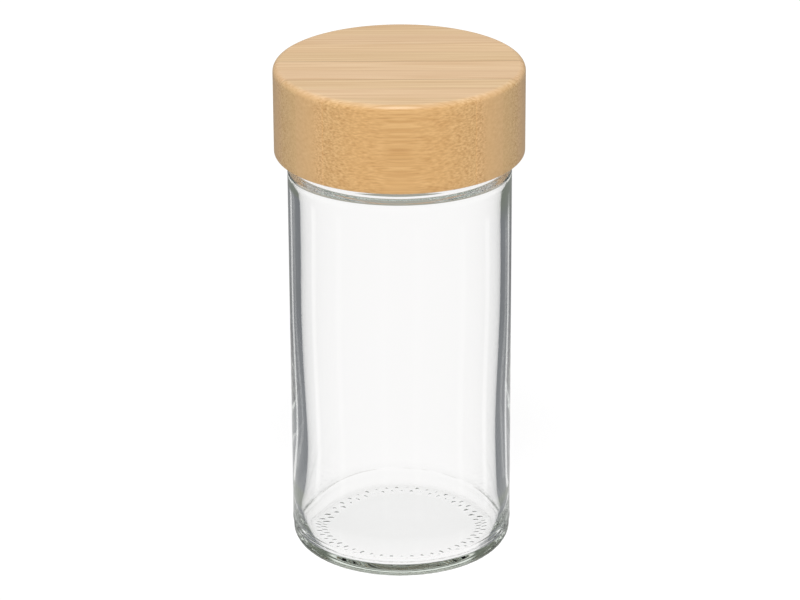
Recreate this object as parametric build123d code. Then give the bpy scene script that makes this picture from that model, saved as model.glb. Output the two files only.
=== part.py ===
"""Spice jar: a round clear glass jar with a threaded neck, closed by a turned bamboo cap.

Millimetres, +Z up. The origin is the centre of the jar's foot on the surface it stands on.
The jar is one piece of glass. The cap is a block of edge-glued bamboo strips, bored from below. A plastic
insert with a screw thread is glued into that bore, and a foam liner lies loose inside it and seals the rim.
The strips run along X and are stacked along Y.
"""
from build123d import *
from math import asin, ceil, cos, degrees, radians, sin
import os

# Glass jar, outside
jar_diameter = 50.2
body_height = 91.5  # foot to the start of the shoulder
heel_radius = 2.75  # rounded edge between the foot and the wall
heel_inset = 0.15  # the bottom plate of the mould is this much smaller than the body mould
foot_ring_width = 5.6  # flat ring the jar stands on
push_up = 0.4  # how far the middle of the underside is raised
seam_height = 0.12  # fine ridge where two parts of the mould meet
seam_width = 0.4
bottom_seam_z = 4.8
shoulder_radius = 3.2
shoulder_width = 5.4  # wall to neck, on each side
neck_root_radius = 0.8  # hollow between the shoulder and the neck
neck_height = 10.8  # top of the shoulder to the rim
lip_radius = 0.9  # both edges of the rim

# Glass jar, inside
wall_thickness = 2.6
neck_wall = 2.4
floor_thickness = 2.8  # at the edge of the inner floor
floor_crown = 0.6  # the inner floor is this much higher in the middle
inner_heel_radius = 3.0
inner_shoulder_radius = 3.6
inner_shoulder_drop = 2.6  # glass between the top of the shoulder and the hollow below it

# Marks pressed into the foot ring, in two staggered rows
knurl_count = 48  # in each row
knurl_length = 1.4
knurl_radius = 0.4
knurl_inset = 0.2  # inner edge of the foot ring to the inner row
knurl_row_gap = 0.2

# Screw thread: one start, six turns to the inch
thread_pitch = 4.233
thread_height = 1.3
thread_foot_width = 2.4
thread_crest_width = 1.0
thread_turns = 1.15
thread_top_offset = 2.6  # rim to the middle of the thread's upper end
thread_fade = 30.0  # degrees in which each end rises out of the wall
thread_step = 10.0  # degrees from one section of a thread to the next
thread_bite = 0.5  # how deep a thread's foot is set into its wall

# Threaded insert
thread_clearance = 0.35  # between the glass thread and the insert's wall
flank_clearance = 0.1  # between the flanks that pull the cap down
insert_wall = 1.4
insert_web = 1.0  # disc that closes the insert at the top
insert_recess = 1.5  # the insert ends this much above the cap's lower edge
insert_thread_height = 1.35
insert_thread_foot_width = 2.0
insert_thread_crest_width = 0.9
insert_thread_turns = 1.0
insert_thread_margin = 0.3  # lower edge of the insert to its thread
insert_lead_in = 0.4  # chamfer at the insert's mouth
key_groove_count = 24
key_groove_radius = 0.5

# Liner
liner_thickness = 1.2
liner_side_gap = 0.5
liner_clearance = 0.05  # to the rim below and to the insert above

# Bamboo cap
cap_wall = 5.15
cap_top_thickness = 7.3
skirt_gap = 0.2  # top of the shoulder to the cap's lower edge
glue_gap = 0.1  # between the insert and the bore
cap_top_radius = 1.5
cap_foot_radius = 0.4
full_strips = 8  # all of one thickness, 6 mm here
front_strip_width = 5.4  # what turning leaves of the first strip
back_strip_width = 2.6  # and of the last one

overrun = 5.0  # cutting shapes run this far past the solid

# Worked out from the sizes above
jar_radius = jar_diameter / 2
heel_outer = jar_radius - heel_inset
foot_outer = heel_outer - heel_radius
foot_inner = foot_outer - foot_ring_width
shoulder_top = body_height + shoulder_radius
shoulder_centre = jar_radius - shoulder_radius
neck_radius = jar_radius - shoulder_width
rim_z = shoulder_top + neck_height
bore_radius = neck_radius - neck_wall
inner_radius = jar_radius - wall_thickness
inner_shoulder_top = shoulder_top - inner_shoulder_drop
throat_radius = inner_radius - inner_shoulder_radius - bore_radius  # hollow up into the neck
thread_crest_radius = neck_radius + thread_height
thread_base_z = rim_z - thread_top_offset - thread_turns * thread_pitch
valley_radius = thread_crest_radius + thread_clearance
insert_radius = valley_radius + insert_wall
liner_radius = valley_radius - liner_side_gap
liner_bottom = rim_z + liner_clearance
liner_top = liner_bottom + liner_thickness
web_bottom = liner_top + liner_clearance
web_top = web_bottom + insert_web
cap_bore_radius = insert_radius + glue_gap
cap_radius = cap_bore_radius + cap_wall
cap_bore_top = web_top + glue_gap
cap_top = cap_bore_top + cap_top_thickness
cap_bottom = shoulder_top + skirt_gap
insert_bottom = cap_bottom + insert_recess
strip_thickness = (2 * cap_radius - front_strip_width - back_strip_width) / full_strips


def turned(*lines):
    """A solid turned about the Z axis from a closed outline, drawn as radius and height."""
    outline = Wire([edge for line in lines for edge in line.edges()])
    return revolve(make_face(Plane.XZ * outline), Axis.Z)


def crown_arc(edge_radius, edge_z, rise, outwards):
    """Shallow arc from the axis, raised by rise, to edge_radius at edge_z, or back again."""
    sphere_radius = (edge_radius**2 + rise**2) / (2 * rise)
    centre_z = edge_z + rise - sphere_radius
    half_angle = degrees(asin(edge_radius / sphere_radius))
    if outwards:
        return CenterArc((0, centre_z), sphere_radius, 90, -half_angle)
    return CenterArc((0, centre_z), sphere_radius, 90 - half_angle, half_angle)


def jar_outline():
    """Closed outline of the glass, from the middle of the foot, up the outside and down the inside."""
    underside = crown_arc(foot_inner, 0, push_up, outwards=True)
    heel = CenterArc((foot_outer, heel_radius), heel_radius, -90, 90)
    wall = Polyline(
        (heel_outer, heel_radius),
        (heel_outer, bottom_seam_z - seam_width / 2),
        (jar_radius + seam_height, bottom_seam_z),
        (jar_radius, bottom_seam_z + seam_width / 2),
        (jar_radius, body_height - seam_width),
        (jar_radius + seam_height, body_height - seam_width / 2),
        (jar_radius, body_height),
    )
    shoulder = CenterArc((shoulder_centre, body_height), shoulder_radius, 0, 90)
    ledge_end = neck_radius + neck_root_radius
    ledge = Line((shoulder_centre, shoulder_top), (ledge_end, shoulder_top))
    neck_root = CenterArc((ledge_end, shoulder_top + neck_root_radius), neck_root_radius, 270, -90)
    lip_z = rim_z - lip_radius
    neck = Line((neck_radius, shoulder_top + neck_root_radius), (neck_radius, lip_z))
    outer_lip = CenterArc((neck_radius - lip_radius, lip_z), lip_radius, 0, 90)
    rim = Line((neck_radius - lip_radius, rim_z), (bore_radius + lip_radius, rim_z))
    inner_lip = CenterArc((bore_radius + lip_radius, lip_z), lip_radius, 90, 90)
    throat_centre = bore_radius + throat_radius
    bore = Line((bore_radius, lip_z), (bore_radius, inner_shoulder_top + throat_radius))
    throat = CenterArc((throat_centre, inner_shoulder_top + throat_radius), throat_radius, 180, 90)
    hollow_z = inner_shoulder_top - inner_shoulder_radius
    hollow_centre = inner_radius - inner_shoulder_radius
    inner_shoulder = CenterArc((hollow_centre, hollow_z), inner_shoulder_radius, 90, -90)
    inner_heel_z = floor_thickness + inner_heel_radius
    inner_wall = Line((inner_radius, hollow_z), (inner_radius, inner_heel_z))
    inner_heel_centre = inner_radius - inner_heel_radius
    inner_heel = CenterArc((inner_heel_centre, inner_heel_z), inner_heel_radius, 0, -90)
    inner_floor = crown_arc(inner_heel_centre, floor_thickness, floor_crown, outwards=False)
    axis = Line((0, floor_thickness + floor_crown), (0, push_up))
    foot = Line((foot_inner, 0), (foot_outer, 0))
    return [underside, foot, heel, wall, shoulder, ledge, neck_root, neck, outer_lip, rim,
            inner_lip, bore, throat, inner_shoulder, inner_wall, inner_heel, inner_floor, axis]


def thread_ridge(wall_radius, height, foot_width, crest_width, base_z, start_angle, turns):
    """Helical ridge with faded ends. A positive height stands outwards and a negative one inwards."""
    side = 1 if height > 0 else -1
    root = wall_radius - side * thread_bite
    sweep_angle = turns * 360
    count = ceil(sweep_angle / thread_step)
    sections = []
    for i in range(count + 1):
        along = sweep_angle * i / count
        share = min(1, along / thread_fade, (sweep_angle - along) / thread_fade)
        crest = root + side * thread_bite / 2 + share * (height + side * thread_bite / 2)
        angle = radians(start_angle + along)
        plane = Plane(
            origin=(0, 0, base_z + thread_pitch * along / 360),
            x_dir=(cos(angle), sin(angle), 0),
            z_dir=(sin(angle), -cos(angle), 0),
        )
        ridge_section = Polygon(
            (root, -foot_width / 2),
            (crest, -crest_width / 2),
            (crest, crest_width / 2),
            (root, foot_width / 2),
            align=None,
        )
        sections.append(plane * ridge_section)
    return loft(sections, ruled=True)


def glass_jar():
    body = turned(*jar_outline())
    ridge = thread_ridge(neck_radius, thread_height, thread_foot_width, thread_crest_width,
                         thread_base_z, 0, thread_turns)
    mark = Cylinder(knurl_radius, knurl_length, rotation=(0, 90, 0))
    inner_row = foot_inner + knurl_inset + knurl_length / 2
    outer_row = inner_row + knurl_length + knurl_row_gap
    half_step = 180 / knurl_count
    inner_marks = PolarLocations(inner_row, knurl_count) * mark
    outer_marks = PolarLocations(outer_row, knurl_count, start_angle=half_step) * mark
    return body + ridge - [*inner_marks, *outer_marks]


def threaded_insert():
    """Plastic cup, open below, with the inner thread hooked under the glass one."""
    shell = turned(
        Polyline(
            (0, web_bottom),
            (valley_radius, web_bottom),
            (valley_radius, insert_bottom + insert_lead_in),
            (valley_radius + insert_lead_in, insert_bottom),
            (insert_radius, insert_bottom),
            (insert_radius, web_top),
            (0, web_top),
            close=True,
        )
    )
    # Where the flanks come nearest is the inner thread's crest: half of both widths there, and the clearance
    reach = neck_radius + thread_height - (valley_radius - insert_thread_height)
    glass_depth = thread_height + thread_bite
    glass_width = thread_crest_width + (thread_foot_width - thread_crest_width) * reach / glass_depth
    hook_drop = (glass_width + insert_thread_crest_width) / 2 + flank_clearance
    lowest = insert_bottom + insert_thread_margin + insert_thread_foot_width / 2
    start_angle = (lowest - (thread_base_z - hook_drop)) / thread_pitch * 360
    ridge = thread_ridge(valley_radius, -insert_thread_height, insert_thread_foot_width,
                         insert_thread_crest_width, lowest, start_angle, insert_thread_turns)
    groove = Cylinder(key_groove_radius, 2 * cap_top)
    return shell + ridge - PolarLocations(insert_radius, key_groove_count) * groove


def seal_liner():
    disc = Cylinder(liner_radius, liner_thickness, align=(Align.CENTER, Align.CENTER, Align.MIN))
    return Pos(0, 0, liner_bottom) * disc


def cap_block():
    """The whole turned cap, before it is seen as strips."""
    foot_z = cap_bottom + cap_foot_radius
    top_z = cap_top - cap_top_radius
    return turned(
        Polyline(
            (0, cap_top),
            (0, cap_bore_top),
            (cap_bore_radius, cap_bore_top),
            (cap_bore_radius, cap_bottom),
            (cap_radius - cap_foot_radius, cap_bottom),
        ),
        CenterArc((cap_radius - cap_foot_radius, foot_z), cap_foot_radius, -90, 90),
        Line((cap_radius, foot_z), (cap_radius, top_z)),
        CenterArc((cap_radius - cap_top_radius, top_z), cap_top_radius, 0, 90),
        Line((cap_radius - cap_top_radius, cap_top), (0, cap_top)),
    )


def bamboo_strips():
    """The block cut along its glued joints, from the front edge to the back edge."""
    block = cap_block()
    joints = [front_strip_width - cap_radius + strip_thickness * i for i in range(full_strips + 1)]
    edges = [-cap_radius - overrun, *joints, cap_radius + overrun]
    strips = []
    for front, back in zip(edges, edges[1:]):
        slab = Box(2 * (cap_radius + overrun), back - front, 2 * cap_top)
        strips.append(block & (Pos(0, (front + back) / 2, cap_top) * slab))
    return strips


def main():
    nodes = {
        "glass_jar": glass_jar(),
        "threaded_insert": threaded_insert(),
        "seal_liner": seal_liner(),
    }
    for number, strip in enumerate(bamboo_strips(), 1):
        nodes[f"bamboo_strip_{number:02d}"] = strip
    os.makedirs("parts", exist_ok=True)
    for name, shape in nodes.items():
        solid = shape.solids()
        export_step(solid[0] if len(solid) == 1 else Compound(solid), f"parts/{name}.step")
        print(name, len(solid), round(shape.volume, 1), shape.is_valid)


main()
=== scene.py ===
import math
import bmesh
import bpy
import numpy as np
from mathutils import Matrix, Vector


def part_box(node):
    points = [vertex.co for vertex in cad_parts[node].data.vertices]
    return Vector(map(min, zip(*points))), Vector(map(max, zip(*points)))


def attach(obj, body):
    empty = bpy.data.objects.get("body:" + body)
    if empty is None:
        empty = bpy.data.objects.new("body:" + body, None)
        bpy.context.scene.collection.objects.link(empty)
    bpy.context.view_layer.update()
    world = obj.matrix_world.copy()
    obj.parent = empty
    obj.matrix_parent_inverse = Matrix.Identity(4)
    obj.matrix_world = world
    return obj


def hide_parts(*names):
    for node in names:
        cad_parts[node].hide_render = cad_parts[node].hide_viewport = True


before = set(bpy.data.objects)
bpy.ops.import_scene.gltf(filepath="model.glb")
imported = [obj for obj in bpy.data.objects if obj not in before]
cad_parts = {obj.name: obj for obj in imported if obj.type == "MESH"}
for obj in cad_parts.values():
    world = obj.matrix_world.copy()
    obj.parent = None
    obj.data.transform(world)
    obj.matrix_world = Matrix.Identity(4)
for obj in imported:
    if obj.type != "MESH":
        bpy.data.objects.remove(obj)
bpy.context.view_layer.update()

mm = 0.001
print("frame loaded:", len(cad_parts), "nodes")


def linear(hexColour):
    # sRGB hex to linear rgb: divide by 12.92 below the knee, else the 2.4 power curve
    parts = [int(hexColour[i:i + 2], 16) / 255 for i in (1, 3, 5)]
    return tuple(c / 12.92 if c <= 0.04045 else ((c + 0.055) / 1.055) ** 2.4 for c in parts) + (1.0,)


def add(tree, kind, links=None, **settings):
    # one node with its settings; links holds a socket or a plain value for each named or numbered input
    n = tree.nodes.new(kind)
    for key, value in settings.items():
        setattr(n, key, value)
    for key, value in (links or {}).items():
        if isinstance(value, bpy.types.NodeSocket):
            tree.links.new(value, n.inputs[key])
        else:
            n.inputs[key].default_value = value
    return n


def newMaterial(name):
    m = bpy.data.materials.new(name)
    m.use_nodes = True
    m.node_tree.nodes.clear()
    return m, m.node_tree


def placed(name, mesh):
    # a smooth object at the origin
    mesh.polygons.foreach_set("use_smooth", np.ones(len(mesh.polygons), bool))
    obj = bpy.data.objects.new(name, mesh)
    bpy.context.scene.collection.objects.link(obj)
    return obj


def meshObject(name, verts, faces, material):
    mesh = bpy.data.meshes.new(name)
    mesh.from_pydata(verts, [], faces)
    mesh.materials.append(material)
    mesh.update()
    return placed(name, mesh)


def line(start, end, count):
    # points from start up to but not including end
    t = np.arange(count)[:, None] / count
    return np.array(start) * (1 - t) + np.array(end) * t


def arc(centre, radius, fromDegrees, toDegrees, count):
    # points on a circle, the last one left to the next stretch
    a = np.radians(fromDegrees + (toDegrees - fromDegrees) * np.arange(count) / count)
    return np.array(centre) + radius * np.stack([np.cos(a), np.sin(a)], 1)


def bowl(edgeRadius, edgeZ, rise, count, outwards):
    # parabola from the axis, raised by rise, to edgeRadius at edgeZ, or back again
    t = (np.arange(count) + (0.5 if outwards else 0)) / count
    r = edgeRadius * (t if outwards else 1 - t)
    return np.stack([r, edgeZ + rise * (1 - (r / edgeRadius) ** 2)], 1)


def turned(outline, segments, shape=None):
    # A closed outline of radius and height is turned about Z: x = r cos a, y = r sin a.
    # shape(r, z, a) may return changed r and z for the whole grid. The two ends close in a point on the axis.
    step = np.arange(segments)
    a = step * 2 * np.pi / segments
    r, z = outline[:, :1] + 0.0 * a, outline[:, 1:] + 0.0 * a
    if shape:
        r, z = shape(r, z, a[None, :])
    grid = np.stack([r * np.cos(a), r * np.sin(a), z], 2).reshape(-1, 3)
    ends = np.array([[0, 0, z[0].mean()], [0, 0, z[-1].mean()]])
    after = (step + 1) % segments
    start = np.arange(len(outline) - 1)[:, None] * segments
    quads = np.stack([start + step, start + after, start + segments + after, start + segments + step], 2)
    last = (len(outline) - 1) * segments
    first = np.stack([np.full(segments, len(grid)), after, step], 1)
    final = np.stack([np.full(segments, len(grid) + 1), last + step, last + after], 1)
    return np.vstack([grid, ends]) * mm, quads.reshape(-1, 4).tolist() + first.tolist() + final.tolist()


def smoothStep(value, low, high):
    t = np.clip((value - low) / (high - low), 0, 1)
    return t * t * (3 - 2 * t)


# Glass jar. Sizes in millimetres, as the CAD piece has them
jar = {
    "segments": 448,
    "radius": 25.1, "heelInset": 0.15, "heelRadius": 2.75, "footWidth": 5.6, "footLift": 0.03, "pushUp": 0.3,
    "seamHeight": 0.1, "seamWidth": 0.4, "bottomSeam": 4.8, "topSeam": 92.7, "topSeamHeight": 0.03,
    "bodyHeight": 91.5, "shoulderRadius": 3.2, "neckRadius": 19.7, "neckRoot": 0.8, "lip": 0.9,
    "boreRadius": 17.3, "innerRadius": 22.5, "innerHeel": 2.5, "heelTurn": 60.0, "heelEnd": 0.8,
    "innerShoulder": 3.65, "innerDrop": 2.75, "floor": 2.8, "crown": 0.6,
    "knurls": 48, "knurlDepth": 0.19, "knurlLength": 1.7, "knurlWidth": 0.8, "knurlInset": 0.3,
    "knurlGap": -0.1,
    "pitch": 4.233, "threadHeight": 1.3, "threadFoot": 2.4, "threadCrest": 1.0, "threadTurns": 1.15,
    "threadTop": 2.6, "threadFade": 30.0,
    # how near to its place a point of the seam or the foot is, and how far the shoulder, the wall and the floor
    # reach from the body's side, the bore's side and the crown
    "hair": 0.01, "shoulderReach": 2.0, "wallReach": 0.5, "floorReach": 0.4,
    # outer unevenness: heights of the waves and where they lie
    "footWave": 0.03, "footGrain": 0.006, "heelFrom": 5.0, "outerWave": 0.01, "outerWaveSpan": (6, 90),
    # inner unevenness: the wall's waves as share, turns, phase and length in height, the swaying one as share,
    # length and phase, where they fade in and out, the wall's thickening, the swellings as bearing, height,
    # depth and span, and the floor's wave
    "wave": 0.08, "waves": ((1.0, 1, 0.9, 17), (0.7, 2, -1.3, 11), (0.45, 1, 2.1, -7)), "sway": (0.4, 5.2, 1.2),
    "waveStart": (4.8, 14), "waveStop": (84, 90), "thicker": 0.25, "thickerAt": 20.0, "thickerSpan": 20.0,
    "swellings": ((180, 19, 0.45, 13), (0, 24, 0.3, 16)), "floorWave": 0.02, "floorWaveFade": 4,
}

# places that follow from the sizes, outside and then inside
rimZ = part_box("glass_jar")[1].z / mm
heelOut = jar["radius"] - jar["heelInset"]
footOut = heelOut - jar["heelRadius"]
footIn = footOut - jar["footWidth"]
shoulderTop = jar["bodyHeight"] + jar["shoulderRadius"]
neckFoot = shoulderTop + jar["neckRoot"]
ceiling = shoulderTop - jar["innerDrop"]
heelCentre = jar["innerRadius"] - jar["innerHeel"]
heelAngle, heelRest = math.radians(jar["heelTurn"]), jar["innerHeel"] - jar["heelEnd"]
heelZ = jar["floor"] + jar["heelEnd"] + heelRest * math.sin(heelAngle)
floorEdge = heelCentre + heelRest * math.cos(heelAngle)


def jarOutline():
    # The outline runs from the middle of the foot up the outside, over the rim and down the inside.
    # Each stretch ends with its number of rows.
    j = jar
    lift, seam, half, top = j["footLift"], j["bottomSeam"], j["seamWidth"] / 2, j["bodyHeight"]
    ledgeEnd = j["neckRadius"] + j["neckRoot"]
    shoulderCentre = j["radius"] - j["shoulderRadius"]
    lipZ = rimZ - j["lip"]
    hollow, hollowZ = j["innerRadius"] - j["innerShoulder"], ceiling - j["innerShoulder"]
    throat = hollow - j["boreRadius"]
    return np.vstack([
        bowl(footIn, lift, j["pushUp"] - lift, 10, True),
        line((footIn, lift), (footOut, lift), 24),
        arc((footOut, j["heelRadius"] + lift), j["heelRadius"], -90, 0, 8),
        line((heelOut, j["heelRadius"] + lift), (heelOut, seam - half), 2),
        line((heelOut, seam - half), (j["radius"] + j["seamHeight"], seam), 2),
        line((j["radius"] + j["seamHeight"], seam), (j["radius"], seam + half), 2),
        line((j["radius"], seam + half), (j["radius"], top), 14),
        arc((shoulderCentre, top), j["shoulderRadius"], 0, 90, 28),
        line((shoulderCentre, shoulderTop), (ledgeEnd, shoulderTop), 2),
        arc((ledgeEnd, neckFoot), j["neckRoot"], 270, 180, 3),
        line((j["neckRadius"], neckFoot), (j["neckRadius"], lipZ), 26),
        arc((j["neckRadius"] - j["lip"], lipZ), j["lip"], 0, 90, 5),
        arc((j["boreRadius"] + j["lip"], lipZ), j["lip"], 90, 180, 5),
        line((j["boreRadius"], lipZ), (j["boreRadius"], ceiling + throat), 4),
        arc((hollow, ceiling + throat), throat, 180, 270, 5),
        arc((hollow, hollowZ), j["innerShoulder"], 90, 0, 12),
        line((j["innerRadius"], hollowZ), (j["innerRadius"], heelZ), 34),
        arc((heelCentre, heelZ), j["innerHeel"], 0, -j["heelTurn"], 14),
        arc((floorEdge, j["floor"] + j["heelEnd"]), j["heelEnd"], -j["heelTurn"], -90, 3),
        bowl(floorEdge, j["floor"], j["crown"], 18, False),
    ])


def threadRidge(z, a):
    # a helical ridge, whose height falls off over its flanks and fades at both ends of the thread
    j = jar
    baseZ = rimZ - j["threadTop"] - j["threadTurns"] * j["pitch"]
    ridge = np.zeros_like(z)
    for lap in range(math.ceil(j["threadTurns"]) + 1):
        along = np.degrees(a) + 360 * lap
        share = np.clip(np.minimum(along, j["threadTurns"] * 360 - along) / j["threadFade"], 0, 1)
        away = np.abs(z - baseZ - j["pitch"] * along / 360)
        flank = 1 - smoothStep(away, j["threadCrest"] / 2, j["threadFoot"] / 2)
        ridge = np.maximum(ridge, share * flank)
    return ridge * j["threadHeight"]


def knurlDips(r, a):
    # oval dips in two staggered rows: 1 less the squares of the shares along and across each mark, between a
    # half and the full depth from mark to mark
    j = jar
    innerRow = footIn + j["knurlInset"] + j["knurlLength"] / 2
    dips = np.zeros_like(r)
    for row in range(2):
        centre = innerRow + row * (j["knurlLength"] + j["knurlGap"])
        mark = a * j["knurls"] / (2 * np.pi) + 0.5 * row
        across = ((mark + 0.5) % 1 - 0.5) * 2 * np.pi * centre / j["knurls"] / (j["knurlWidth"] / 2)
        along = (r - centre) / (j["knurlLength"] / 2)
        depth = 0.75 + 0.25 * np.sin(2.4 * np.round(mark) + row)
        dips = dips + depth * np.clip(1 - across ** 2 - along ** 2, 0, None)
    return dips * j["knurlDepth"]


def wallUnevenness(z, a):
    # how much thicker the wall is: a bell in height, another for each swelling, strongest on its bearing, and a
    # sum of sines in angle and height with one in height alone that sways around the jar
    j = jar
    thick = j["thicker"] * np.exp(-((z - j["thickerAt"]) / j["thickerSpan"]) ** 2)
    for at, height, depth, rise in j["swellings"]:
        side = (1 + np.cos(a - math.radians(at))) / 2
        thick = thick + depth * side * np.exp(-((z - height) / rise) ** 2)
    wave = sum(share * np.sin(turns * a + phase + z / length) for share, turns, phase, length in j["waves"])
    wave = wave + j["sway"][0] * np.sin(z / j["sway"][1] + j["sway"][2] + np.sin(a))
    return (thick + wave * j["wave"]) * smoothStep(z, *j["waveStart"]) * (1 - smoothStep(z, *j["waveStop"]))


def jarShape(r, z, a):
    # Adds to the turned form. Outside these are the thread, a fine mould seam around the shoulder, a slow wave
    # in the wall, a lower seam that fades in places, an uneven heel and the marks under the foot. Inside they
    # are the uneven wall and floor of blown glass.
    j = jar
    inner = np.arange(len(r))[:, None] > np.argmax(z[:, 0]) + 2
    onNeck = ~inner & (z > shoulderTop + j["neckRoot"] / 2)
    r = r + np.where(onNeck, threadRidge(z, a), 0)
    seam = smoothStep(1 - np.abs(z - j["topSeam"]) / j["seamWidth"], 0, 1)
    onShoulder = ~inner & (r > j["radius"] - j["shoulderReach"])
    r = r + np.where(onShoulder, seam * j["topSeamHeight"], 0)
    z = z + np.where(~inner & (z < j["footLift"] + j["hair"]), knurlDips(r, a), 0)
    # the rounded heel is a little uneven where the glass met the cold mould: two products of sines, and a grain
    ripple = (np.sin(71 * a + r * 2.1) * np.sin(11 * a - z * 1.7 + 0.6)
              + np.sin(29 * a + 1.1) * np.sin(7 * a + z))
    grain = 1 + np.random.default_rng(5).uniform(-1, 1, r.shape)
    heel = ~inner & (z < j["bottomSeam"]) & (r > footIn + j["heelFrom"])
    z = z + np.where(heel, j["footWave"] * (1 + ripple / 2) + j["footGrain"] * grain, 0)
    # the lower seam keeps between none and all of its height around the jar
    ridge = ~inner & (np.abs(z - j["bottomSeam"]) < j["hair"]) & (r > j["radius"] + j["hair"])
    kept = 0.45 + 0.35 * np.sin(2 * a + 0.6) * np.sin(5 * a) + 0.2 * np.sin(13 * a + 1)
    r = r - np.where(ridge, j["seamHeight"] * (1 - kept), 0)
    # the wall inside and outside
    onWall = inner & (r > j["innerRadius"] - j["wallReach"]) & (z > j["floor"] + j["innerHeel"] / 2)
    r = r - np.where(onWall, wallUnevenness(z, a), 0)
    low, high = j["outerWaveSpan"]
    outerWave = 1 + np.sin(3 * a + z / 13) * np.sin(2 * a - z / 19)
    r = r - np.where(~inner & (z > low) & (z < high), j["outerWave"] * outerWave, 0)
    # the inner floor: a product of sines that fades at its edge and in the middle
    onFloor = inner & (z < j["floor"] + j["crown"] + j["floorReach"]) & (r < floorEdge)
    swell = np.sin(r / 3.1 + 2 * a) * np.sin(r / 2.3 - a + 0.7)
    fade = smoothStep(floorEdge - r, 0, j["floorWaveFade"]) * smoothStep(r, 0, j["floorWaveFade"])
    z = z + np.where(onFloor, j["floorWave"] * swell * fade, 0)
    return r, z


def clearGlass():
    # Soda-lime container glass, fire polished. It gives a clean clear body and a faint grey green where the
    # light goes a long way through it; its dark bent edges are painted shade in the world, which shows grey
    # only to rays that come through the glass. The tint holds back the mirror image that faces the eye, which
    # soft light all around hardly shows.
    m, tree = newMaterial("sodaLimeGlass")
    shader = add(tree, "ShaderNodeBsdfPrincipled", {
        "Base Color": (1, 1, 1, 1), "Roughness": 0.0, "IOR": 1.52, "Transmission Weight": 1.0,
        "Specular Tint": (0.25, 0.25, 0.25, 1)})
    volume = add(tree, "ShaderNodeVolumeAbsorption", {"Color": linear("#CAD6CC"), "Density": 10.0})
    add(tree, "ShaderNodeOutputMaterial", {"Surface": shader.outputs[0], "Volume": volume.outputs[0]})
    return m


glass = clearGlass()
verts, faces = turned(jarOutline(), jar["segments"], jarShape)
glassJar = meshObject("glassJar", verts, faces, glass)
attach(glassJar, "jar")
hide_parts("glass_jar")
glassJar.visible_shadow = False  # the lamp's light goes through clear glass
print("glass jar:", len(verts), "points,", len(faces), "faces")


# Bamboo cap, a block of ten glued strips. Sizes in millimetres
cap = {
    "segments": 360, "topRadius": 1.5, "footRadius": 0.4, "bore": 22.85, "topThickness": 7.3, "poleRadius": 0.5,
    "creaseDegrees": 40.0,
    "fibreSpacing": 0.66, "fibreLength": 24.0, "grainSpacing": 0.34, "streakSpacing": 0.8, "streakLength": 55.0,
    "jointWidth": 0.4,
    # colours of the long faces, the ends, the top, the fibres and the glue, and tints of dark and of light wood
    "golden": "#E2B477", "tan": "#DAB784", "pale": "#E7C79C", "fibre": "#B0763A", "glue": "#8A6436",
    "darkTint": (0.78, 0.66, 0.52, 1), "lightTint": (1.16, 1.21, 1.3, 1),
    # strengths on the upright faces and on the top
    "fibreShow": (0.34, 0.12), "toneLow": (0.91, 0.85), "toneHigh": (1.06, 1.1), "stippleShow": (0.17, 0.12),
    # how matt the plain wood and the fibres are
    "matt": (0.33, 0.52),
    # each strip from the front: fibres on its inner side, share of the width from which they crowd, how clear
    # its glue line is on top, and how warm its colour is
    "innerCrowd": (0.6, 0.1, 0.45, 0.3, 0.5, 0.2, 0.4, 0.3, 0.2, 0.5),
    "crowdFrom": (0.2, 0.6, 0.25, 0.3, 0.25, 0.35, 0.2, 0.3, 0.4, 0.25),
    "topJoint": (0.1, 0.15, 0.7, 0.1, 0.75, 0.12, 0.25, 0.15, 0.3, 0.1),
    "warmth": (0.0, 0.35, -0.1, 0.5, 0.3, -0.2, 0.1, 0.4, 0.0, 0.2),
}
capNodes = sorted(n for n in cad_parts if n.startswith("bamboo_strip"))
capLow = Vector([min(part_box(n)[0][i] for n in capNodes) for i in range(3)])
capHigh = Vector([max(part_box(n)[1][i] for n in capNodes) for i in range(3)])


def capOutline():
    # From the end of the bore down it, up the side and over the rounded edge to the middle of the top
    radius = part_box("bamboo_strip_05")[1].x / mm
    top, bottom = capHigh.z / mm, capLow.z / mm
    edge, foot, pole = cap["topRadius"], cap["footRadius"], cap["poleRadius"]
    boreTop = top - cap["topThickness"]
    outline = np.vstack([
        line((radius - edge, top), (pole, top), 12)[::-1],
        arc((radius - edge, top - edge), edge, 90, 0, 10),
        line((radius, top - edge), (radius, bottom + foot), 10),
        arc((radius - foot, bottom + foot), foot, 0, -90, 4),
        line((radius - foot, bottom), (cap["bore"], bottom), 3),
        line((cap["bore"], bottom), (cap["bore"], boreTop), 4),
        line((cap["bore"], boreTop), (pole, boreTop), 4),
        [[pole, boreTop]],
    ])
    return outline[::-1]


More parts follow.
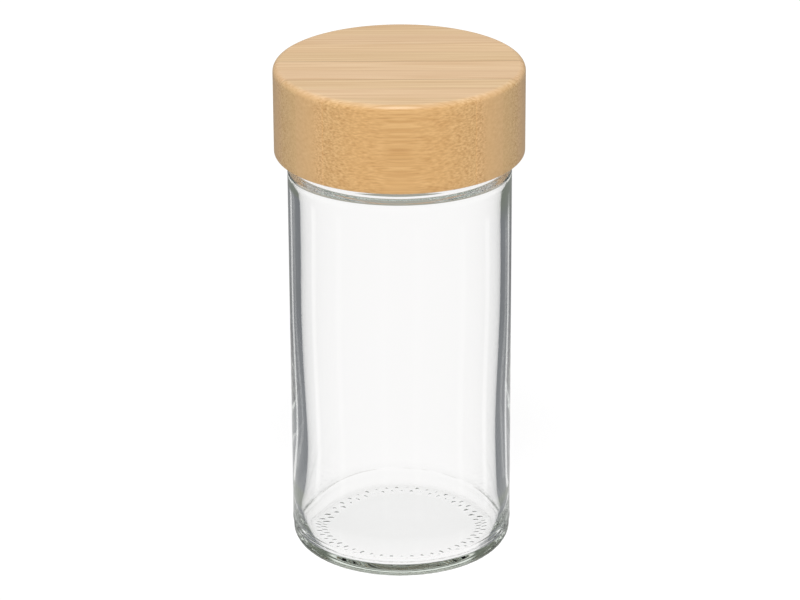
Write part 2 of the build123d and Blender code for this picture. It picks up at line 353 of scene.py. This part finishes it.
def bambooStrip(number, low, high, rng):
    # Carbonised bamboo lamella, sanded and oiled: pale honey faces with fine darker fibres along X, which
    # show as dots on the ends. Dense fibres crowd to one side of each strip, where the culm's skin was.
    m, tree = newMaterial(f"oiledBamboo{number:02d}")
    innerCrowd, crowdFrom, topJoint, warmth = (
        cap[name][number - 1] for name in ("innerCrowd", "crowdFrom", "topJoint", "warmth"))
    place = add(tree, "ShaderNodeTexCoord").outputs["Object"]
    shift = tuple(rng.uniform(-1, 1, 3))
    along = 1 / (cap["fibreLength"] * mm)
    fibre, grain, streak = (1 / (cap[name + "Spacing"] * mm) for name in ("fibre", "grain", "streak"))
    stretched = add(tree, "ShaderNodeMapping", {
        "Vector": place, "Location": shift, "Scale": (along, fibre, fibre)})
    bundles = add(tree, "ShaderNodeTexVoronoi", {
        "Vector": stretched.outputs[0], "Scale": 1.0, "Randomness": 0.9}, feature="F1")
    dots = add(tree, "ShaderNodeMapRange", {
        "Value": bundles.outputs["Distance"], "From Min": 0.42, "From Max": 0.12},
        interpolation_type="SMOOTHSTEP")
    # the finer cells between the bundles, darker and lighter in turn
    fine = add(tree, "ShaderNodeMapping", {"Vector": place, "Location": shift, "Scale": (along, grain, grain)})
    cells = add(tree, "ShaderNodeTexNoise", {
        "Vector": fine.outputs[0], "Scale": 1.0, "Detail": 1.5, "Roughness": 0.5})
    stipple = add(tree, "ShaderNodeMapRange", {
        "Value": cells.outputs["Fac"], "From Min": 0.32, "From Max": 0.68, "To Min": -1.0, "To Max": 1.0})
    # share across the strip, from its inner side to the skin side
    split = add(tree, "ShaderNodeSeparateXYZ", {"Vector": place})
    skin, inner = (high, low) if number % 2 else (low, high)
    crowd = add(tree, "ShaderNodeMapRange", {
        "Value": split.outputs["Y"], "From Max": skin - 0.1 * (skin - inner),
        "From Min": inner + crowdFrom * (skin - inner), "To Min": innerCrowd}, interpolation_type="SMOOTHSTEP")
    dense = add(tree, "ShaderNodeMath", {0: dots.outputs[0], 1: crowd.outputs[0]}, operation="MULTIPLY")
    rough = add(tree, "ShaderNodeMath", {0: stipple.outputs[0], 1: crowd.outputs[0]}, operation="MULTIPLY")
    # slow streaks of tone along the strip
    streaks = add(tree, "ShaderNodeMapping", {
        "Vector": place, "Location": shift, "Scale": (1 / (cap["streakLength"] * mm), streak, streak)})
    tone = add(tree, "ShaderNodeTexNoise", {
        "Vector": streaks.outputs[0], "Scale": 1.0, "Detail": 4.0, "Roughness": 0.65})
    # the face that looks up is pale, the one along the grain golden, the ends tan
    normal = add(tree, "ShaderNodeNewGeometry")
    facing = add(tree, "ShaderNodeVectorTransform", {"Vector": normal.outputs["Normal"]},
                 vector_type="NORMAL", convert_from="WORLD", convert_to="OBJECT")
    squared = add(tree, "ShaderNodeVectorMath", {
        0: facing.outputs[0], 1: facing.outputs[0]}, operation="MULTIPLY")
    sides = add(tree, "ShaderNodeSeparateXYZ", {"Vector": squared.outputs[0]})
    lift = 1 + rng.uniform(-0.02, 0.02)
    warm = (lift * (1 + 0.02 * warmth), lift, lift * (1 + 0.08 * warmth))
    golden, tan, pale = (
        [c * w for c, w in zip(linear(cap[name]), warm)] + [1] for name in ("golden", "tan", "pale"))
    endShare = add(tree, "ShaderNodeMapRange", {"Value": sides.outputs["X"], "From Min": 0.1, "From Max": 0.75})
    side = add(tree, "ShaderNodeMix", {"Factor": endShare.outputs[0], 6: golden, 7: tan}, data_type="RGBA")
    base = add(tree, "ShaderNodeMix", {
        "Factor": sides.outputs["Z"], 6: side.outputs[2], 7: pale}, data_type="RGBA")
    # fibres, tone and stipple each have one strength on the upright faces and another on the top
    fibreShow, toneLow, toneHigh, stippleShow = (
        add(tree, "ShaderNodeMapRange", {
            "Value": sides.outputs["Z"], "To Min": cap[name][0], "To Max": cap[name][1]}).outputs[0]
        for name in ("fibreShow", "toneLow", "toneHigh", "stippleShow"))
    amount = add(tree, "ShaderNodeMath", {0: dense.outputs[0], 1: fibreShow}, operation="MULTIPLY")
    dark = add(tree, "ShaderNodeMix", {
        "Factor": amount.outputs[0], 6: base.outputs[2], 7: linear(cap["fibre"])}, data_type="RGBA")
    toneRange = add(tree, "ShaderNodeMapRange", {
        "Value": tone.outputs["Fac"], "From Min": 0.3, "From Max": 0.7, "To Min": toneLow, "To Max": toneHigh})
    shade = add(tree, "ShaderNodeMath", {
        0: rough.outputs[0], 1: stippleShow, 2: toneRange.outputs[0]}, operation="MULTIPLY_ADD")
    # the darker it gets, the redder, as carbonised sugar does
    share = add(tree, "ShaderNodeMapRange", {"Value": shade.outputs[0], "From Min": 0.7, "From Max": 1.2})
    tint = add(tree, "ShaderNodeMix", {
        "Factor": share.outputs[0], 6: cap["darkTint"], 7: cap["lightTint"]}, data_type="RGBA")
    toned = add(tree, "ShaderNodeMix", {
        "Factor": 1.0, 6: dark.outputs[2], 7: tint.outputs[2]}, data_type="RGBA", blend_type="MULTIPLY")
    # glue line at the strip's far face, clear on top and hardly seen on the sides, drawn coarser than the real
    # tenth of a millimetre so that it shows
    glue = add(tree, "ShaderNodeMapRange", {
        "Value": split.outputs["Y"], "From Min": high - cap["jointWidth"] * mm, "From Max": high,
        "To Max": topJoint})
    topOnly = add(tree, "ShaderNodeMath", {0: glue.outputs[0], 1: sides.outputs["Z"]}, operation="MULTIPLY")
    joined = add(tree, "ShaderNodeMix", {
        "Factor": topOnly.outputs[0], 6: toned.outputs[2], 7: linear(cap["glue"])}, data_type="RGBA")
    roughness = add(tree, "ShaderNodeMapRange", {
        "Value": dense.outputs[0], "To Min": cap["matt"][0], "To Max": cap["matt"][1]})
    bump = add(tree, "ShaderNodeBump", {"Height": dense.outputs[0], "Strength": 0.25, "Distance": 0.05 * mm},
               invert=True)
    shader = add(tree, "ShaderNodeBsdfPrincipled", {
        "Base Color": joined.outputs[2], "Roughness": roughness.outputs[0], "Normal": bump.outputs[0],
        "IOR": 1.45, "Specular IOR Level": 0.4})
    add(tree, "ShaderNodeOutputMaterial", {"Surface": shader.outputs[0]})
    return m


def cutStrip(number, low, high, block):
    # The slice of the turned block between two planes across Y, closed by flat faces
    name = f"bambooStrip{number:02d}"
    bm = bmesh.new()
    bm.from_mesh(block)
    for y, side in ((low, -1), (high, 1)):
        if abs(y) < capHigh.y - 0.1 * mm:
            whole = bm.verts[:] + bm.edges[:] + bm.faces[:]
            cut = bmesh.ops.bisect_plane(bm, geom=whole, plane_co=(0, y, 0), plane_no=(0, side, 0),
                                         clear_outer=True, dist=1e-7)
            rim = [e for e in cut["geom_cut"] if isinstance(e, bmesh.types.BMEdge) and e.is_boundary]
            bmesh.ops.triangle_fill(bm, edges=rim, use_beauty=True)
    bmesh.ops.recalc_face_normals(bm, faces=bm.faces[:])
    mesh = bpy.data.meshes.new(name)
    bm.to_mesh(mesh)
    bm.free()
    obj = placed(name, mesh)
    mesh.set_sharp_from_angle(angle=math.radians(cap["creaseDegrees"]))
    return obj


rng = np.random.default_rng(7)
verts, faces = turned(capOutline(), cap["segments"])
block = bpy.data.meshes.new("capBlock")
block.from_pydata(verts, [], faces)
for number, node in enumerate(capNodes, 1):
    low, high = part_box(node)[0].y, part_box(node)[1].y
    strip = cutStrip(number, low, high, block)
    strip.data.materials.append(bambooStrip(number, low, high, rng))
    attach(strip, "cap")
    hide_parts(node)
bpy.data.meshes.remove(block)
print("bamboo cap:", len(capNodes), "strips")


# Insert, shown as the CAD has it. Sizes in millimetres
insert = {"grain": 0.6, "grainDepth": 0.02, "milky": "#ECEAE3", "cloudy": "#E2DFD6"}


def insertPlastic():
    # Natural polypropylene, injection moulded: milky white with a soft sheen and a faint mould grain
    m, tree = newMaterial("naturalPolypropylene")
    place = add(tree, "ShaderNodeTexCoord").outputs["Object"]
    grain = add(tree, "ShaderNodeTexNoise", {
        "Vector": place, "Scale": 1 / (insert["grain"] * mm), "Detail": 2.0})
    colour = add(tree, "ShaderNodeMix", {
        "Factor": grain.outputs["Fac"], 6: linear(insert["milky"]), 7: linear(insert["cloudy"])},
        data_type="RGBA")
    bump = add(tree, "ShaderNodeBump", {
        "Height": grain.outputs["Fac"], "Strength": 0.1, "Distance": insert["grainDepth"] * mm})
    shader = add(tree, "ShaderNodeBsdfPrincipled", {
        "Base Color": colour.outputs[2], "Roughness": 0.38, "IOR": 1.49, "Normal": bump.outputs[0]})
    add(tree, "ShaderNodeOutputMaterial", {"Surface": shader.outputs[0]})
    return m


# Liner, shown as the CAD has it. Sizes in millimetres
liner = {"cell": 0.35, "cellDepth": 0.05, "middle": "#F2F2EF", "wall": "#DDDDD8"}


def linerFoam():
    # Closed-cell polyethylene foam sheet, die cut: matt white with fine cells
    m, tree = newMaterial("polyethyleneFoam")
    place = add(tree, "ShaderNodeTexCoord").outputs["Object"]
    cells = add(tree, "ShaderNodeTexVoronoi", {"Vector": place, "Scale": 1 / (liner["cell"] * mm)})
    distance = cells.outputs["Distance"]
    colour = add(tree, "ShaderNodeMix", {
        "Factor": distance, 6: linear(liner["middle"]), 7: linear(liner["wall"])}, data_type="RGBA")
    bump = add(tree, "ShaderNodeBump", {
        "Height": distance, "Strength": 0.3, "Distance": liner["cellDepth"] * mm})
    shader = add(tree, "ShaderNodeBsdfPrincipled", {
        "Base Color": colour.outputs[2], "Roughness": 0.8, "Normal": bump.outputs[0]})
    add(tree, "ShaderNodeOutputMaterial", {"Surface": shader.outputs[0]})
    return m


for node, material in (("threaded_insert", insertPlastic()), ("seal_liner", linerFoam())):
    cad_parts[node].data.materials.clear()
    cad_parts[node].data.materials.append(material)
print("insert and liner dressed")


# Stage: a white floor that keeps a faint shadow, and a white world with painted grey shade that only rays
# through the glass see. Lengths in metres
stage = {
    "floorSize": 3.0, "floorColour": (0.9, 0.9, 0.9, 1), "shadowShare": 0.2, "shadowReach": 0.35,
    # strengths of the white that the camera sees, a little over 1 to make up for the lit share of the floor, of
    # the light all around, and of the dim white that only reflections see, painted shade for the glass's edges
    "white": 1.08, "ambient": 0.5, "glossy": 0.3,
    # distances from the middle where the floor turns to painted shade for reflections, and where the painted
    # contact shadow by the heel ends
    "nearGlow": 0.12, "nearSoft": 0.03, "contact": 0.031, "contactSoft": 0.004,
    # what rays find after the glass: straight through it and turned up, back out of the base, and across it.
    # All but clear and overhead are painted grey shade, seen by no other ray, that darkens the glass's edges
    # and shoulder
    "clear": "#FEFDFD", "shoulder": "#A4A49A", "base": "#71776D", "paintedEdgeGrey": "#74777B", "overhead": "#FBFDF8",
    "echo": "#B8BAB8",
    # the heights, as the ray's Z, between which one turns into the next
    "toShoulder": (0.03, 0.09), "toPaintedEdgeGrey": (-0.75, -0.6), "toBase": (-0.36, -0.32), "toOverhead": (0.0, 0.15),
    "toEcho": (-0.1, 0.1),
    # passes through a surface after which a ray has crossed the hollow, and degrees in an eighth of the round
    "passes": 3.5, "eighth": 45.0,
    # bearing, half width and soft edge of the painted bright streaks in the grey and the painted dark bands in
    # the pale, in degrees within each eighth
    "paintedStreak": "#FFFFFF", "paintedStreakAt": 18.5, "paintedStreakHalf": 3.5, "paintedStreakSoft": 2.0,
    "paintedBand": "#6B7064", "paintedBandAt": 42.0, "paintedBandHalf": 9.0, "paintedBandSoft": 4.0,
}


def whiteFloor():
    # For the camera most of the white is a plain glow, and near the jar the rest is lit white that shows the
    # shadow. Reflections find the lit white around the jar, and painted shade farther off and a painted contact
    # shadow right under it.
    s = stage
    m, tree = newMaterial("whiteSweep")
    path = add(tree, "ShaderNodeLightPath")
    lit = add(tree, "ShaderNodeBsdfDiffuse", {"Color": s["floorColour"]})
    glow = add(tree, "ShaderNodeEmission", {"Color": (1, 1, 1, 1), "Strength": s["white"]})
    place = add(tree, "ShaderNodeTexCoord").outputs["Object"]
    reach = add(tree, "ShaderNodeVectorMath", {0: place}, operation="LENGTH")
    share = add(tree, "ShaderNodeMapRange", {
        "Value": reach.outputs["Value"], "From Min": s["shadowReach"] / 2, "From Max": s["shadowReach"],
        "To Min": 1 - s["shadowShare"]}, interpolation_type="SMOOTHSTEP")
    part = add(tree, "ShaderNodeMath", {
        0: path.outputs["Is Camera Ray"], 1: share.outputs[0]}, operation="MULTIPLY")
    mixed = add(tree, "ShaderNodeMixShader", {0: part.outputs[0], 1: lit.outputs[0], 2: glow.outputs[0]})
    # painted shade for reflections: dim white beyond nearGlow, and a painted contact shadow within contact of
    # the middle
    far = add(tree, "ShaderNodeMapRange", {
        "Value": reach.outputs["Value"], "From Min": s["nearGlow"] - s["nearSoft"],
        "From Max": s["nearGlow"] + s["nearSoft"]}, interpolation_type="SMOOTHSTEP")
    close = add(tree, "ShaderNodeMapRange", {
        "Value": reach.outputs["Value"], "From Min": s["contact"] + s["contactSoft"],
        "From Max": s["contact"] - s["contactSoft"]}, interpolation_type="SMOOTHSTEP")
    outside = add(tree, "ShaderNodeMath", {0: far.outputs[0], 1: close.outputs[0]}, operation="MAXIMUM")
    dimmed = add(tree, "ShaderNodeMath", {
        0: outside.outputs[0], 1: path.outputs["Is Glossy Ray"]}, operation="MULTIPLY")
    dim = add(tree, "ShaderNodeEmission", {"Color": (1, 1, 1, 1), "Strength": s["glossy"]})
    whole = add(tree, "ShaderNodeMixShader", {0: dimmed.outputs[0], 1: mixed.outputs[0], 2: dim.outputs[0]})
    add(tree, "ShaderNodeOutputMaterial", {"Surface": whole.outputs[0]})
    return m


def whiteWorld():
    # Camera rays see white. Rays that went straight through the glass see white, and painted grey shade where
    # they were turned upwards. Rays that were turned back inside the glass see painted grey shade with two soft
    # painted bright streaks in each quarter of the round, white where they go steeply down, another painted
    # grey where they go gently down, and pale with painted dark bands where they go up. Those that also crossed
    # the jar's hollow see white below them and painted grey above. No other ray sees these greys: they paint
    # the dark bent edges of the glass and its shoulder band.
    s = stage
    world = bpy.data.worlds.new("whiteStudio")
    world.use_nodes = True
    tree = world.node_tree
    tree.nodes.clear()
    path = add(tree, "ShaderNodeLightPath")
    direction = add(tree, "ShaderNodeTexCoord").outputs["Generated"]
    split = add(tree, "ShaderNodeSeparateXYZ", {"Vector": direction})
    bearing = add(tree, "ShaderNodeMath", {0: split.outputs["X"], 1: split.outputs["Y"]}, operation="ARCTAN2")
    degrees = add(tree, "ShaderNodeMath", {0: bearing.outputs[0], 1: 180 / math.pi}, operation="MULTIPLY")
    eighth = add(tree, "ShaderNodeMath", {0: degrees.outputs[0], 1: s["eighth"]}, operation="PINGPONG")

    def banded(name, plain):
        # the colour of that name within half its width of its bearing, and the plain one beside it
        away = add(tree, "ShaderNodeMath", {0: eighth.outputs[0], 1: s[name + "At"]}, operation="SUBTRACT")
        away = add(tree, "ShaderNodeMath", {0: away.outputs[0]}, operation="ABSOLUTE")
        within = add(tree, "ShaderNodeMapRange", {
            "Value": away.outputs[0], "From Min": s[name + "Half"] + s[name + "Soft"],
            "From Max": s[name + "Half"] - s[name + "Soft"]}, interpolation_type="SMOOTHSTEP")
        return add(tree, "ShaderNodeMix", {
            "Factor": within.outputs[0], 6: plain, 7: linear(s[name])}, data_type="RGBA").outputs[2]

    def byHeight(name, under, over):
        # one colour below the heights of that name, the other above them
        share = add(tree, "ShaderNodeMapRange", {
            "Value": split.outputs["Z"], "From Min": s[name][0], "From Max": s[name][1]},
            interpolation_type="SMOOTHSTEP")
        return add(tree, "ShaderNodeMix", {
            "Factor": share.outputs[0], 6: under, 7: over}, data_type="RGBA").outputs[2]

    # painted shade of the glass: the greys, the bright streaks and the dark bands below are seen only by rays
    # after the glass
    straight = byHeight("toShoulder", linear(s["clear"]), linear(s["shoulder"]))
    steep = byHeight("toPaintedEdgeGrey", linear(s["clear"]), banded("paintedStreak", linear(s["paintedEdgeGrey"])))
    shallow = byHeight("toBase", steep, linear(s["base"]))
    guided = byHeight("toOverhead", shallow, banded("paintedBand", linear(s["overhead"])))
    echo = byHeight("toEcho", linear(s["clear"]), linear(s["echo"]))
    crossed = add(tree, "ShaderNodeMath", {
        0: path.outputs["Transmission Depth"], 1: s["passes"]}, operation="GREATER_THAN")
    turnedBack = add(tree, "ShaderNodeMix", {
        "Factor": crossed.outputs[0], 6: guided, 7: echo}, data_type="RGBA")
    bounced = add(tree, "ShaderNodeMath", {0: path.outputs["Glossy Depth"], 1: 0.5}, operation="GREATER_THAN")
    through = add(tree, "ShaderNodeMix", {
        "Factor": bounced.outputs[0], 6: straight, 7: turnedBack.outputs[2]}, data_type="RGBA")
    # reflections see a dimmer white than the light all around: painted shade for the glass's edges
    plain = add(tree, "ShaderNodeMix", {
        "Factor": path.outputs["Is Glossy Ray"], 2: s["ambient"], 3: s["glossy"]})
    seen = add(tree, "ShaderNodeMix", {
        "Factor": path.outputs["Is Camera Ray"], 2: plain.outputs[0], 3: s["white"]})
    light = add(tree, "ShaderNodeMix", {
        "Factor": path.outputs["Is Transmission Ray"], 6: seen.outputs[0], 7: through.outputs[2]},
        data_type="RGBA")
    sky = add(tree, "ShaderNodeBackground", {"Color": light.outputs[2], "Strength": 1.0})
    add(tree, "ShaderNodeOutputWorld", {"Surface": sky.outputs[0]})
    return world


half = stage["floorSize"] / 2
floor = meshObject("floor", [(-half, -half, 0), (half, -half, 0), (half, half, 0), (-half, half, 0)],
                   [(0, 1, 2, 3)], whiteFloor())
floor.visible_transmission = False  # rays through the glass find the world's white
bpy.context.scene.world = whiteWorld()

# Lamp and camera. The camera was fitted to the photograph, 800 x 600 pixels, seen from 23 degrees above.
# Lengths in metres
softbox = {"place": (-0.03, -0.56, 1.1), "size": 0.4, "power": 8.0}
photo = {"width": 800, "focalPixels": 3655, "distance": 0.829, "aimHeight": 58.42 * mm, "aside": -0.08 * mm,
         "pitch": 22.96, "roll": 0.3, "sensor": 36.0, "clipStart": 0.01}

# a square lamp that looks at the jar's middle
light = bpy.data.lights.new("keyBox", "AREA")
light.size = softbox["size"]
light.energy = softbox["power"]
lamp = bpy.data.objects.new("keyBox", light)
lamp.location = softbox["place"]
aim = Vector((0, 0, photo["aimHeight"])) - lamp.location
lamp.rotation_euler = aim.to_track_quat("-Z", "Y").to_euler()
lamp.visible_camera = False
lamp.visible_transmission = False
bpy.context.scene.collection.objects.link(lamp)
print("stage and lamp set")

lens = bpy.data.cameras.new("camera")
lens.sensor_width = photo["sensor"]
lens.lens = photo["sensor"] * photo["focalPixels"] / photo["width"]
lens.clip_start = photo["clipStart"]
camera = bpy.data.objects.new("camera", lens)
pitch = math.radians(photo["pitch"])
camera.location = (photo["aside"], -photo["distance"] * math.cos(pitch),
                   photo["aimHeight"] + photo["distance"] * math.sin(pitch))
tilt = Matrix.Rotation(math.pi / 2 - pitch, 3, "X")
camera.rotation_euler = (tilt @ Matrix.Rotation(math.radians(-photo["roll"]), 3, "Z")).to_euler()
bpy.context.scene.collection.objects.link(camera)
bpy.context.scene.camera = camera
print("camera set")
bpy.context.scene.view_settings.view_transform = "Standard"

# the thick base turns light back many times before it gets out
paths = bpy.context.scene.cycles
paths.max_bounces = 32
paths.glossy_bounces = 24
paths.transmission_bounces = 24
